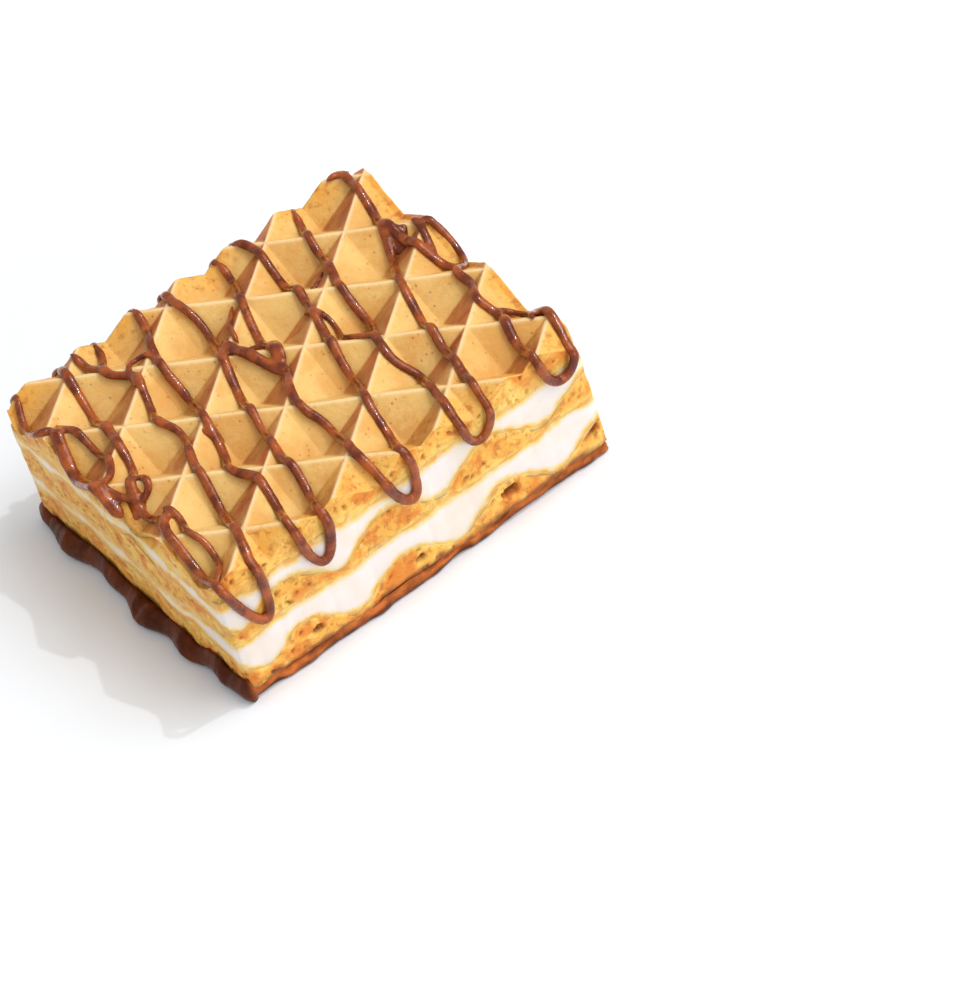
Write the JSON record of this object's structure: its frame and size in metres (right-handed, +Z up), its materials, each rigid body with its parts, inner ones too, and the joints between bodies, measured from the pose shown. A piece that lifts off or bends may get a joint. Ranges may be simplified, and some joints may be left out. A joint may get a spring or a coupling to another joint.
{
  "type": "layered waffle wafer square",
  "caption": "Square piece of crisp waffle wafer layered with cream, on a thin chocolate base and drizzled with chocolate.",
  "frame": {"origin": "centre of the flat underside, where the piece rests on a plate", "axes": "+Z up through the layers, +X along the cut front edge towards the right, +Y from the cut front towards the back"},
  "size_m": [0.0525, 0.0459, 0.0194],
  "materials": {
    "wafer_drizzled": "baked golden waffle sheet, matt, with glossy milk chocolate drizzle fused to it",
    "wafer": "toasted wafer cut, matt and porous",
    "cream": "soft ivory cream, satin",
    "chocolate": "milk chocolate, smooth and slightly glossy"
  },
  "bodies": {
    "root": {"wafer_top": "wafer_drizzled", "cream_upper": "cream", "wafer_middle": "wafer", "cream_lower": "cream", "wafer_bottom": "wafer", "chocolate_base": "chocolate"}
  },
  "joints": []
}
